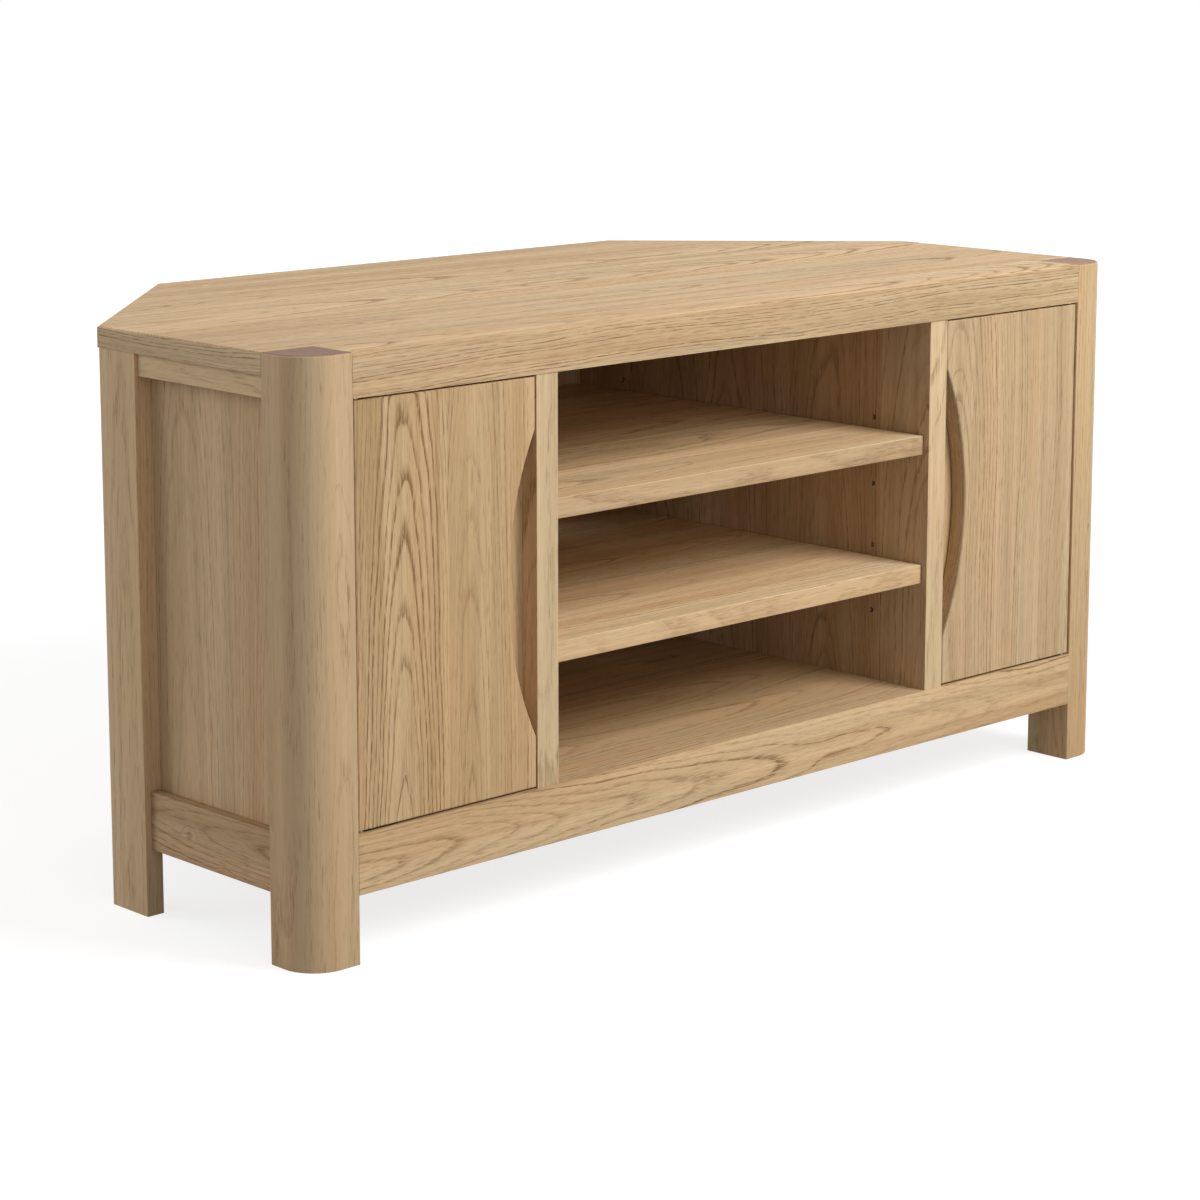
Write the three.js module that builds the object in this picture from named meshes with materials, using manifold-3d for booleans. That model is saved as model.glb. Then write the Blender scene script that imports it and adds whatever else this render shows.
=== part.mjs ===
import * as THREE from 'three';
import { mergeVertices } from 'three/addons/utils/BufferGeometryUtils.js';
import Module from 'manifold-3d';

// A corner television cabinet in oak, in millimetres, with +Z up.
// The plan is a rectangle whose two rear corners are cut at 45 degrees, so the cabinet
// backs into the corner of a room. An open bay with two adjustable shelves stands between
// two cupboards. Each cupboard has an inset door on pivot pins, with a crescent finger
// pull in the edge that closes over a stop strip on the bay's divider.
// The pieces are laid out from the front face: x runs to the right from the middle, y runs
// back from the front of the legs, and z runs up from the floor.

const wasm = await Module();
wasm.setup();

// Overall size
const cabinetWidth = 1020;
const cabinetDepth = 492;
const cabinetHeight = 500;

// Top board
const topThickness = 18;
const topEasing = 1.2;
const topPastBack = 6;

// Legs and posts
const frontLegWidth = 52;
const frontLegDepth = 50;
const frontLegRadius = 33;
const sidePostThickness = 17;
const sidePostDepth = 50;
const sidePostSetIn = 2;
const rearPostDepth = 40;

// Rails
const footHeight = 58;
const bottomRailHeight = 51;
const topRailHeight = 19;
const frontRailThickness = 22;
const rearRailThickness = 20;
const sideTopRailRecess = 3;
const sideBottomRailRecess = 6;

// Panels
const sidePanelThickness = 16;
const bottomPanelThickness = 18;
const backPanelThickness = 6;
const cableSlotWidth = 60;
const cableSlotHeight = 250;

// Cupboard openings, dividers, and how far the straight back runs past each divider. The
// bay takes the width that is left.
const cupboardWidth = 196;
const dividerThickness = 24;
const dividerSetback = 1;
const backPastDivider = 28;

// Shelves
const shelfThickness = 18;
const shelfSetback = 7;
const shelfSideClearance = 1;
const shelfBackClearance = 2;

// Shelf pegs, and their holes in sets of three round each shelf's place
const pegPitch = 32;
const pegFrontInset = 70;
const pegBackInset = 65;
const lowerPegHeight = 100;
const upperPegHeight = 224;
const pegDiameter = 5;
const pegLength = 10;
const pegHeadDiameter = 8;
const pegHeadLength = 8;
const pegHeadFlat = 0.5;
const pegClearance = 0.1;

// Pivot hinges: a plate let into the rail carries the pin, and a leaf let into the door
// turns on it
const pinDiameter = 3;
const pinReach = 8;
const pinClearance = 0.2;
const pinEndClearance = 1;
const pivotEndPlay = 0.2;
const collarDiameter = 5;
const leafWall = 0.8;
const leafBorder = 0.5;
const leafLength = 40;
const leafWidth = 10;
const leafThickness = 2;
const leafClearance = 0.2;

// Doors
const doorThickness = 18;
const doorSetback = 1;
const doorTopGap = 1.5;
const doorBottomGap = 1.5;
const doorMeetingGap = 1;
const doorSwingClearance = 0.25;
const doorArrisRadius = 2;
const pullShoulder = 44.5;
const pullDepth = 30;

// Door stops and magnetic catches
const stopPastPull = 13.5;
const stopThickness = 18;
const stopGap = 0.3;
const magnetDiameter = 10;
const magnetLength = 8;
const strikeDiameter = 14;
const strikeThickness = 1.2;
const catchClearance = 0.2;

// Joint left open where two pieces meet on a 45 degree face
const mitreGap = 0.3;

// How far a cutting solid runs past the face that it cuts
const overrun = 5;

// Segments in a quarter of a large round, a small full circle, a door's arris and a pull
const quarterSegments = 12;
const circleSegments = 16;
const arrisSegments = 3;
const pullSegments = 36;

// Heights
const railTop = footHeight + bottomRailHeight;
const topUnderside = cabinetHeight - topThickness;
const topRailUnderside = topUnderside - topRailHeight;
const bottomPanelUnderside = railTop - bottomPanelThickness;

// The pivot is as near the door's front corner as its leaf allows. The gap at the hinge
// edge lets that rounded corner pass the leg as the door turns.
const leafEdge = pinDiameter / 2 + pinClearance + leafWall;
const pivotInset = leafEdge + leafBorder + doorArrisRadius;
const cornerReach = (Math.SQRT2 - 1) * (pivotInset - doorArrisRadius);
const doorSideGap = cornerReach + doorSwingClearance;

// Places across the cabinet, out from its middle
const halfWidth = cabinetWidth / 2;
const legInner = halfWidth - frontLegWidth;
const panelOuter = halfWidth - sidePostThickness;
const panelInner = panelOuter - sidePanelThickness;
const dividerOuter = legInner - cupboardWidth;
const dividerInner = dividerOuter - dividerThickness;
const halfBack = dividerOuter + backPastDivider;
const cornerCut = halfWidth - halfBack;
const pivotX = legInner - doorSideGap - pivotInset;

// Places back from the front
const cutStart = cabinetDepth - cornerCut;
const sidePostBack = cutStart - sidePostSetIn;
const sidePostFront = sidePostBack - sidePostDepth;
const backOuter = cabinetDepth - topPastBack;
const backInner = backOuter - backPanelThickness;
const rearPostFront = backInner - rearPostDepth;
const rearRailFront = backInner - rearRailThickness;
const doorBack = doorSetback + doorThickness;
const stopFront = doorBack + stopGap;
const pivotY = doorSetback + pivotInset;

// Distances in from the top's cut edge
const panelOuterInset = topPastBack;
const panelInnerInset = topPastBack + backPanelThickness;
const frameInset = panelInnerInset + mitreGap;
const railInnerInset = frameInset + rearRailThickness;

// Doors, stops and catches
const doorWidth = cupboardWidth - doorSideGap - doorMeetingGap;
const doorBottom = railTop + doorBottomGap;
const doorTop = topRailUnderside - doorTopGap;
const doorHeight = doorTop - doorBottom;
const pullLength = doorHeight - 2 * pullShoulder;
const stopWidth = doorMeetingGap + pullDepth + stopPastPull;
const catchX = dividerOuter + stopWidth / 2;
const catchDrop = pullShoulder / 2;

const oakAlong = { color: 0xd2ae7a, roughness: 0.55, metalness: 0 };
const oakUpright = { color: 0xcfa973, roughness: 0.55, metalness: 0 };
const oakDoor = { color: 0xd0ab76, roughness: 0.55, metalness: 0 };
const oakVeneer = { color: 0xc9a571, roughness: 0.6, metalness: 0 };
const steel = { color: 0xa9abad, roughness: 0.35, metalness: 1 };
const magnetSteel = { color: 0x8d9093, roughness: 0.4, metalness: 1 };

const cabinet = new THREE.Group();
const carcase = new THREE.Group();
carcase.position.y = -cabinetDepth / 2;
cabinet.add(carcase);

function add(name, geometry, finish, place = [0, 0, 0], parent = carcase) {
  const mesh = new THREE.Mesh(geometry, new THREE.MeshStandardMaterial(finish));
  mesh.name = name;
  mesh.position.set(...place);
  parent.add(mesh);
}

// A board between two opposite corners
function boardGeometry(low, high) {
  const size = high.map((value, axis) => value - low[axis]);
  const middle = high.map((value, axis) => (value + low[axis]) / 2);
  const geometry = new THREE.BoxGeometry(...size);
  geometry.translate(...middle);
  return geometry;
}

// The same board on the right (side 1) or mirrored to the left (side -1)
function sideBoardGeometry(side, low, high) {
  const near = side > 0 ? low[0] : -high[0];
  const far = side > 0 ? high[0] : -low[0];
  return boardGeometry([near, low[1], low[2]], [far, high[1], high[2]]);
}

// A closed outline in plan, for the right (side 1) or mirrored to the left (side -1)
function outline(points, side = 1) {
  return new THREE.Shape(points.map(([x, y]) => new THREE.Vector2(side * x, y)));
}

// An upright prism over a plan outline, between two heights
function prism(shape, from, to) {
  const geometry = new THREE.ExtrudeGeometry(shape, {
    depth: Math.abs(to - from),
    bevelEnabled: false,
    curveSegments: quarterSegments,
  });
  geometry.translate(0, 0, Math.min(from, to));
  return geometry;
}

// An upright round rod between two heights
function rod(diameter, from, to) {
  const radius = diameter / 2;
  const length = Math.abs(to - from);
  const geometry = new THREE.CylinderGeometry(radius, radius, length, circleSegments);
  geometry.rotateX(Math.PI / 2);
  geometry.translate(0, 0, (from + to) / 2);
  return geometry;
}

// Turns a solid so that its height points back, along +y
function pointBack(geometry) {
  geometry.rotateX(-Math.PI / 2);
  return geometry;
}

// Turns a profile that was drawn in the plane of x and y, and extruded up, so that its x
// runs back, its y runs up and its thickness runs across, along +x
function standAcross(geometry) {
  geometry.rotateX(Math.PI / 2);
  geometry.rotateZ(Math.PI / 2);
  return geometry;
}

function toManifold(geometry) {
  const plain = geometry.clone();
  plain.deleteAttribute('normal');
  plain.deleteAttribute('uv');
  const merged = mergeVertices(plain);
  return new wasm.Manifold(new wasm.Mesh({
    numProp: 3,
    vertProperties: new Float32Array(merged.attributes.position.array),
    triVerts: new Uint32Array(merged.index.array),
  }));
}

function fromManifold(manifold) {
  const mesh = manifold.getMesh();
  const geometry = new THREE.BufferGeometry();
  geometry.setAttribute('position', new THREE.BufferAttribute(mesh.vertProperties, 3));
  geometry.setIndex(new THREE.BufferAttribute(mesh.triVerts, 1));
  geometry.computeVertexNormals();
  return geometry;
}

function combine(operation, geometries) {
  const [first, ...rest] = geometries.map(toManifold);
  return fromManifold(rest.reduce((whole, next) => whole[operation](next), first));
}

function cut(body, tools) {
  return combine('subtract', [body, ...tools]);
}

function join(geometries) {
  return combine('add', geometries);
}

// Where a line parallel to the cut corner, set in from the top's edge, passes a given
// depth or a given width on the right of the cabinet
function cornerXAt(y, inset) {
  return halfWidth + cutStart - inset * Math.SQRT2 - y;
}

function cornerYAt(x, inset) {
  return halfWidth + cutStart - inset * Math.SQRT2 - x;
}

// The outside of the cabinet as it is shaped after glueing up: the plan with its cut rear
// corners and round front corners, and the eased arris round the top's face
function finishedOutside() {
  const plan = new THREE.Shape();
  plan.moveTo(-halfBack, cabinetDepth);
  plan.lineTo(-halfWidth, cutStart);
  plan.lineTo(-halfWidth, frontLegRadius);
  const roundX = halfWidth - frontLegRadius;
  plan.absarc(-roundX, frontLegRadius, frontLegRadius, -Math.PI, -Math.PI / 2, false);
  plan.absarc(roundX, frontLegRadius, frontLegRadius, -Math.PI / 2, 0, false);
  plan.lineTo(halfWidth, cutStart);
  plan.lineTo(halfBack, cabinetDepth);
  plan.closePath();
  const outside = new THREE.ExtrudeGeometry(plan, {
    depth: cabinetHeight,
    bevelThickness: topEasing,
    bevelSize: topEasing,
    bevelOffset: -topEasing,
    bevelSegments: 1,
    curveSegments: quarterSegments,
  });
  // The easing at the lower end falls below the floor, where no piece is
  outside.translate(0, 0, -topEasing);
  return outside;
}

// The stock of a front leg, which runs past the finished outside
function legStock(side) {
  return sideBoardGeometry(
    side,
    [legInner, -overrun, 0],
    [halfWidth + overrun, frontLegDepth, cabinetHeight + overrun],
  );
}

// Front legs: from the floor to the face of the top, with the outer corner worked to a
// large round that leaves a narrow flat on each face. Their end grain shows in the top.
function makeFrontLeg(name, side) {
  add(name, combine('intersect', [finishedOutside(), legStock(side)]), oakUpright);
}

// Top board: a solid panel with cut rear corners, notched round the two front legs
function makeTop() {
  const slab = boardGeometry(
    [-halfWidth - overrun, -overrun, topUnderside],
    [halfWidth + overrun, cabinetDepth + overrun, cabinetHeight + overrun],
  );
  const top = combine('intersect', [finishedOutside(), slab]);
  add('top', cut(top, [legStock(-1), legStock(1)]), oakAlong);
}

// Side posts: the rear feet of the two sides, flush with the edge of the top
function makeSidePost(name, side) {
  const low = [panelOuter, sidePostFront, 0];
  const high = [halfWidth, sidePostBack, topUnderside];
  add(name, sideBoardGeometry(side, low, high), oakUpright);
}

// Rear posts: the feet under the straight back, with one face cut to the 45 degree corner
function makeRearPost(name, side) {
  const plan = outline([
    [dividerOuter, rearPostFront],
    [cornerXAt(rearPostFront, frameInset), rearPostFront],
    [cornerXAt(backInner, frameInset), backInner],
    [dividerOuter, backInner],
  ], side);
  add(name, prism(plan, 0, topUnderside), oakUpright);
}

// Side rails: between a front leg and a side post, recessed from their outer faces
function makeSideRail(name, side, recess, from, to) {
  const low = [panelOuter, frontLegDepth, from];
  const high = [halfWidth - recess, sidePostFront, to];
  add(name, sideBoardGeometry(side, low, high), oakAlong);
}

// Side panels: behind the post and the rails, mitred at the back to the corner panel
function makeSidePanel(name, side) {
  const plan = outline([
    [panelInner, frontLegDepth],
    [panelOuter, frontLegDepth],
    [panelOuter, cornerYAt(panelOuter, frameInset)],
    [panelInner, cornerYAt(panelInner, frameInset)],
  ], side);
  add(name, prism(plan, footHeight, topUnderside), oakUpright);
}

// Bottom panel: level with the top of the bottom rail, cut round the legs and rear posts
function makeBottomPanel() {
  const right = [
    [legInner, frontRailThickness],
    [legInner, frontLegDepth],
    [panelInner, frontLegDepth],
    [panelInner, cornerYAt(panelInner, frameInset)],
    [cornerXAt(rearPostFront, frameInset), rearPostFront],
    [dividerOuter, rearPostFront],
    [dividerOuter, backInner],
  ];
  const left = right.map(([x, y]) => [-x, y]).reverse();
  const plan = outline([...right, ...left]);
  add('bottom_panel', prism(plan, bottomPanelUnderside, railTop), oakAlong);
}

// Rear rails: under the top across the bay, and under the bottom panel between the posts
function makeRearRails() {
  const topRail = boardGeometry(
    [-dividerInner, rearRailFront, topRailUnderside],
    [dividerInner, backInner, topUnderside],
  );
  add('rear_top_rail', topRail, oakAlong);
  const bottomRail = boardGeometry(
    [-dividerOuter, rearRailFront, footHeight],
    [dividerOuter, backInner, bottomPanelUnderside],
  );
  add('rear_bottom_rail', bottomRail, oakAlong);
}

// Corner top rails: under the top along the cut corner, from side panel to rear post
function makeCornerTopRail(name, side) {
  const plan = outline([
    [panelInner, cornerYAt(panelInner, frameInset)],
    [cornerXAt(rearPostFront, frameInset), rearPostFront],
    [cornerXAt(rearPostFront, railInnerInset), rearPostFront],
    [panelInner, cornerYAt(panelInner, railInnerInset)],
  ], side);
  add(name, prism(plan, topRailUnderside, topUnderside), oakAlong);
}

// Corner back panels: thin boards on the cut corners, mitred to the rear panel
function makeCornerBackPanel(name, side) {
  const start = cornerYAt(panelOuter, panelInnerInset);
  const across = backPanelThickness / Math.SQRT2;
  const away = mitreGap / Math.SQRT2;
  const plan = outline([
    [panelOuter, start],
    [panelOuter + across, start + across],
    [cornerXAt(backOuter, panelOuterInset) + away, backOuter - away],
    [cornerXAt(backInner, panelInnerInset) + away, backInner - away],
  ], side);
  add(name, prism(plan, footHeight, topUnderside), oakVeneer);
}

// Rear panel: a thin board across the straight back, with one tall round-ended slot that
// lets cables out of the bay whatever the height of its shelves
function makeRearPanel() {
  const innerX = cornerXAt(backInner, panelInnerInset);
  const outerX = cornerXAt(backOuter, panelOuterInset);
  const plan = outline([
    [-innerX, backInner],
    [innerX, backInner],
    [outerX, backOuter],
    [-outerX, backOuter],
  ]);
  const middle = (railTop + topRailUnderside) / 2;
  const radius = cableSlotWidth / 2;
  const straight = cableSlotHeight / 2 - radius;
  const slotShape = new THREE.Shape();
  slotShape.absarc(0, straight, radius, 0, Math.PI, false);
  slotShape.absarc(0, -straight, radius, Math.PI, 2 * Math.PI, false);
  slotShape.closePath();
  const slot = pointBack(prism(slotShape, backInner - overrun, backOuter + overrun));
  slot.translate(0, 0, middle);
  const board = prism(plan, footHeight, topUnderside);
  add('rear_back_panel', cut(board, [slot]), oakVeneer);
}

// Peg places on a divider: back from the front face, and up from the bay's floor
const pegColumns = [pegFrontInset, backInner - pegBackInset];
const pegHeights = [lowerPegHeight, upperPegHeight];

function pegHole(side, y, height) {
  const reach = pegLength + pegClearance;
  const hole = rod(pegDiameter + 2 * pegClearance, -reach, reach);
  hole.rotateY(Math.PI / 2);
  hole.translate(side * dividerInner, y, railTop + height);
  return hole;
}

// Dividers: full-depth boards between the bay and the cupboards. Each stands on the
// bottom rail and panel, is notched round the front top rail, and has sets of three peg
// holes on the bay's side.
function makeDivider(name, side) {
  const profile = outline([
    [dividerSetback, railTop],
    [backInner, railTop],
    [backInner, topUnderside],
    [frontRailThickness, topUnderside],
    [frontRailThickness, topRailUnderside],
    [dividerSetback, topRailUnderside],
  ]);
  const [near, far] = side > 0 ? [dividerInner, dividerOuter] : [-dividerOuter, -dividerInner];
  const panel = standAcross(prism(profile, near, far));
  const holes = [];
  for (const y of pegColumns) {
    for (const height of pegHeights) {
      for (const step of [-1, 0, 1]) {
        holes.push(pegHole(side, y, height + step * pegPitch));
      }
    }
  }
  add(name, cut(panel, holes), oakUpright);
}

// The seat of a peg above its axis, on the flat planed off the top of its head
const pegSeat = pegHeadDiameter / 2 - pegHeadFlat;

// Shelf peg: a round shank for the hole, and a wider head with a flat seat on top. It is
// made for the right divider, and turned half round for the left one.
function makePeg(name, side, y, height) {
  const shank = rod(pegDiameter, -pegHeadLength / 2, pegLength);
  shank.rotateY(Math.PI / 2);
  const radius = pegHeadDiameter / 2;
  const seatAngle = Math.asin(pegSeat / radius);
  const profile = new THREE.Shape();
  profile.absarc(0, 0, radius, Math.PI - seatAngle, 2 * Math.PI + seatAngle, false);
  profile.closePath();
  const head = standAcross(prism(profile, -pegHeadLength, 0));
  const peg = join([shank, head]);
  if (side < 0) {
    peg.rotateZ(Math.PI);
  }
  add(name, peg, steel, [side * dividerInner, y, railTop + height]);
}

// Shelf: a solid board lying on four pegs, free of the dividers and the back
function makeShelf(name, pegHeight) {
  const underside = railTop + pegHeight + pegSeat;
  const reach = dividerInner - shelfSideClearance;
  const low = [-reach, shelfSetback, underside];
  const high = [reach, backInner - shelfBackClearance, underside + shelfThickness];
  add(name, boardGeometry(low, high), oakAlong);
}

// The plan of a hinge leaf or plate about its pin, with its corner rounded at the pin. A
// margin makes the plan of its pocket.
function leafPlan(side, margin = 0) {
  const near = leafEdge + margin;
  const far = leafLength - leafEdge + margin;
  const back = leafWidth - leafEdge + margin;
  const plan = new THREE.Shape();
  plan.moveTo(-side * far, -near);
  plan.lineTo(0, -near);
  plan.absarc(0, 0, near, -Math.PI / 2, side > 0 ? 0 : -Math.PI, side < 0);
  plan.lineTo(side * near, back);
  plan.lineTo(-side * far, back);
  plan.closePath();
  return plan;
}

// Pocket for a leaf or plate, let in below and above the given height
function leafPocket(side, z) {
  return prism(leafPlan(side, leafClearance), z - leafThickness, z + leafThickness);
}

// Plate of a pivot hinge, let into a rail, with its collar and pin. Its face is at z = 0
// and the pin points up (1) or down (-1).
function hingePlate(side, up, collarHeight) {
  const rooted = -up * leafThickness / 2;
  const tip = up * (collarHeight + leafThickness + pinReach);
  return join([
    prism(leafPlan(side), -up * leafThickness, 0),
    rod(collarDiameter, rooted, up * collarHeight),
    rod(pinDiameter, rooted, tip),
  ]);
}

// Leaf of a pivot hinge, let into the edge of the door, with the hole for the pin
function hingeLeaf(side) {
  const leaf = prism(leafPlan(side), 0, leafThickness);
  return cut(leaf, [rod(pinDiameter + 2 * pinClearance, -overrun, leafThickness + overrun)]);
}

// Front rails: between the legs and flush with them. Each has a pocket at both ends, in
// the face toward the doors, for a hinge plate.
function makeFrontRail(name, from, to, doorFace) {
  const rail = boardGeometry([-legInner, 0, from], [legInner, frontRailThickness, to]);
  const pockets = [-1, 1].map((side) => {
    const pocket = leafPocket(side, doorFace);
    pocket.translate(side * pivotX, pivotY, 0);
    return pocket;
  });
  add(name, cut(rail, pockets), oakAlong);
}

// Radius of the crescent, from its length along the door's edge and its depth
const pullRadius = ((pullLength / 2) ** 2 + pullDepth ** 2) / (2 * pullDepth);
const pullHalfAngle = Math.asin(pullLength / 2 / pullRadius);

// A door seen from the front, about the foot of its pivot axis. The hinge edge is outward
// of the pivot. The other edge has the crescent, a shallow arc cut into it.
function doorOutline(side) {
  const hingeEdge = pivotInset;
  const pullEdge = pivotInset - doorWidth;
  const pullCentre = pullEdge + pullDepth - pullRadius;
  const points = [
    [pullEdge, 0],
    [hingeEdge, 0],
    [hingeEdge, doorHeight],
    [pullEdge, doorHeight],
  ];
  for (let step = 0; step <= pullSegments; step += 1) {
    const angle = pullHalfAngle * (1 - 2 * step / pullSegments);
    const x = pullCentre + pullRadius * Math.cos(angle);
    points.push([x, doorHeight / 2 + pullRadius * Math.sin(angle)]);
  }
  return outline(points, side);
}

// Door: a solid board with its arrises rounded all round, also along the crescent. The
// round lets it turn on a pin inside its own thickness. Pockets take the hinge leaves, and
// a recess in the back takes the plate of the catch.
function doorBoard(side) {
  const body = new THREE.ExtrudeGeometry(doorOutline(side), {
    depth: doorThickness - 2 * doorArrisRadius,
    bevelThickness: doorArrisRadius,
    bevelSize: doorArrisRadius,
    bevelOffset: -doorArrisRadius,
    bevelSegments: arrisSegments,
  });
  body.rotateX(Math.PI / 2);
  body.translate(0, doorThickness - doorArrisRadius - pivotInset, 0);
  const boreDiameter = pinDiameter + 2 * pinClearance;
  const boreDepth = leafThickness + pinReach + pinEndClearance;
  const recess = pointBack(rod(strikeDiameter + 2 * catchClearance, -strikeThickness, overrun));
  recess.translate(side * (catchX - pivotX), doorThickness - pivotInset, doorHeight - catchDrop);
  return cut(body, [
    leafPocket(side, 0),
    leafPocket(side, doorHeight),
    rod(boreDiameter, -overrun, boreDepth),
    rod(boreDiameter, doorHeight - boreDepth, doorHeight + overrun),
    recess,
  ]);
}

// A door with its leaves and catch plate, grouped about the foot of its pivot axis
function makeDoor(prefix, side) {
  const door = new THREE.Group();
  door.position.set(side * pivotX, pivotY, doorBottom);
  carcase.add(door);
  add(`${prefix}_door`, doorBoard(side), oakDoor, [0, 0, 0], door);
  const leaf = hingeLeaf(side);
  add(`${prefix}_lower_hinge_leaf`, leaf, steel, [0, 0, 0], door);
  const upperLeafPlace = [0, 0, doorHeight - leafThickness];
  add(`${prefix}_upper_hinge_leaf`, leaf.clone(), steel, upperLeafPlace, door);
  const strike = pointBack(rod(strikeDiameter, -strikeThickness, 0));
  const strikePlace = [
    side * (catchX - pivotX),
    doorThickness - pivotInset,
    doorHeight - catchDrop,
  ];
  add(`${prefix}_catch_plate`, strike, steel, strikePlace, door);
}

// The plates that carry a door. The lower collar bears it, and the upper one leaves the
// end play.
function makeHingePlates(prefix, side) {
  const lower = hingePlate(side, 1, doorBottomGap);
  const lowerPlace = [side * pivotX, pivotY, railTop];
  add(`${prefix}_lower_hinge_plate`, lower, steel, lowerPlace);
  const upper = hingePlate(side, -1, doorTopGap - pivotEndPlay);
  const upperPlace = [side * pivotX, pivotY, topRailUnderside];
  add(`${prefix}_upper_hinge_plate`, upper, steel, upperPlace);
}

// Door stop: a strip on the divider's outer face, wider than the crescent is deep, so it
// closes the opening behind the finger pull. A magnet is let into its front.
function makeDoorStop(prefix, side) {
  const low = [dividerOuter, stopFront, railTop];
  const high = [dividerOuter + stopWidth, stopFront + stopThickness, topRailUnderside];
  const magnetPlace = [side * catchX, stopFront, doorTop - catchDrop];
  const hole = pointBack(rod(magnetDiameter + 2 * catchClearance, -overrun, magnetLength));
  hole.translate(...magnetPlace);
  add(`${prefix}_door_stop`, cut(sideBoardGeometry(side, low, high), [hole]), oakUpright);
  const magnet = pointBack(rod(magnetDiameter, 0, magnetLength));
  add(`${prefix}_catch_magnet`, magnet, magnetSteel, magnetPlace);
}

makeTop();
makeFrontRail('front_top_rail', topRailUnderside, topUnderside, topRailUnderside);
makeFrontRail('front_bottom_rail', footHeight, railTop, railTop);
makeBottomPanel();
makeRearRails();
makeRearPanel();
for (const [prefix, side] of [['left', -1], ['right', 1]]) {
  makeFrontLeg(`${prefix}_front_leg`, side);
  makeSidePost(`${prefix}_side_post`, side);
  makeRearPost(`${prefix}_rear_post`, side);
  makeSideRail(`${prefix}_top_rail`, side, sideTopRailRecess, topRailUnderside, topUnderside);
  makeSideRail(`${prefix}_bottom_rail`, side, sideBottomRailRecess, footHeight, railTop);
  makeSidePanel(`${prefix}_side_panel`, side);
  makeCornerTopRail(`${prefix}_corner_top_rail`, side);
  makeCornerBackPanel(`${prefix}_corner_back_panel`, side);
  makeDivider(`${prefix}_divider`, side);
  makeDoorStop(prefix, side);
  makeHingePlates(prefix, side);
  makeDoor(prefix, side);
}
for (const [shelf, height] of [['lower', lowerPegHeight], ['upper', upperPegHeight]]) {
  makeShelf(`${shelf}_shelf`, height);
  for (const [prefix, side] of [['left', -1], ['right', 1]]) {
    makePeg(`${shelf}_${prefix}_front_peg`, side, pegColumns[0], height);
    makePeg(`${shelf}_${prefix}_back_peg`, side, pegColumns[1], height);
  }
}

export default cabinet;
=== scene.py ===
import math

import bpy
from mathutils import Matrix, Vector


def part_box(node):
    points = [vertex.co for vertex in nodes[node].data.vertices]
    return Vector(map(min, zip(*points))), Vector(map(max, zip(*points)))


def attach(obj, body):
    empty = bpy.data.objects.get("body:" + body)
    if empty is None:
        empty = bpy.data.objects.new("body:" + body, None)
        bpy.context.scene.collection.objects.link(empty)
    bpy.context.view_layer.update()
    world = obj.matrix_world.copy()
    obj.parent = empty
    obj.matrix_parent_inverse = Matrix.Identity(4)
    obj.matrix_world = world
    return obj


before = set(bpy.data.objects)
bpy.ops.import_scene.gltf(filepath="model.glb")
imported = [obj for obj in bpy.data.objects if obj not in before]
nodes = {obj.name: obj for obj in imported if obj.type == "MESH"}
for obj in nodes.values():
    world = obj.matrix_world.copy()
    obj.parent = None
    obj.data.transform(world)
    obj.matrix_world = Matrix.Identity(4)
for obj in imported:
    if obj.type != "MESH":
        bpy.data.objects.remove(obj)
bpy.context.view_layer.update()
scene = bpy.context.scene
scene.view_settings.view_transform = "Standard"

# Camera
# It stands to the left of the cabinet and a little above its top, with a long lens. Its place,
# turn and tilt come from the corners of the cabinet as they lie in the picture.
eye = Vector((-2.01126, -2.15565, 0.83549))
camera_turn, camera_tilt = 0.761627, 0.168660
lens_length, lens_drop = 94.891, -0.12
ahead = Vector((math.sin(camera_turn) * math.cos(camera_tilt),
                math.cos(camera_turn) * math.cos(camera_tilt),
                -math.sin(camera_tilt)))
camera = bpy.data.objects.new("camera", bpy.data.cameras.new("camera"))
camera.location = eye
camera.rotation_mode = "QUATERNION"
camera.rotation_quaternion = ahead.to_track_quat("-Z", "Y")
camera.data.sensor_width = 36
camera.data.lens = lens_length
camera.data.shift_y = lens_drop
camera.data.clip_start, camera.data.clip_end = 0.1, 60
scene.collection.objects.link(camera)
scene.camera = camera


# Room
# A pale floor that runs to a white background, one broad soft lamp from the front right, low weak
# ones in front, from behind on the left and from the right, and an even white sky.
def put(tree, kind, inputs=None, **settings):
    made = tree.nodes.new(kind)
    for name, value in settings.items():
        setattr(made, name, value)
    for socket, value in (inputs or {}).items():
        if isinstance(value, bpy.types.NodeSocket):
            tree.links.new(value, made.inputs[socket])
        else:
            made.inputs[socket].default_value = value
    return made


def reckon(tree, operation, a, b=None, c=None, clamp=False):
    numbers = {place: value for place, value in enumerate((a, b, c)) if value is not None}
    return put(tree, "ShaderNodeMath", numbers, operation=operation, use_clamp=clamp).outputs[0]


def new_finish(name):
    finish = bpy.data.materials.new(name)
    finish.use_nodes = True
    finish.node_tree.nodes.clear()
    return finish, finish.node_tree


def seen_plainly(tree):
    path = put(tree, "ShaderNodeLightPath")
    seen = reckon(tree, "MAXIMUM", path.outputs["Is Camera Ray"], path.outputs["Is Glossy Ray"])
    return reckon(tree, "MAXIMUM", seen, path.outputs["Is Transmission Ray"])


cabinet_middle = Vector((0, 0, 0.25))


def hang_lamp(name, kind, turn, height, away=0.0):
    # Turn is measured from straight in front of the cabinet and height from the floor, in degrees.
    turn, height = math.radians(turn), math.radians(height)
    towards = Vector((math.sin(turn) * math.cos(height), -math.cos(turn) * math.cos(height),
                      math.sin(height)))
    lamp = bpy.data.objects.new(name, bpy.data.lights.new(name, kind))
    lamp.location = cabinet_middle + towards * away
    lamp.rotation_mode = "QUATERNION"
    lamp.rotation_quaternion = towards.to_track_quat("Z", "Y")
    lamp.visible_camera = False
    scene.collection.objects.link(lamp)
    return lamp.data


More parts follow.
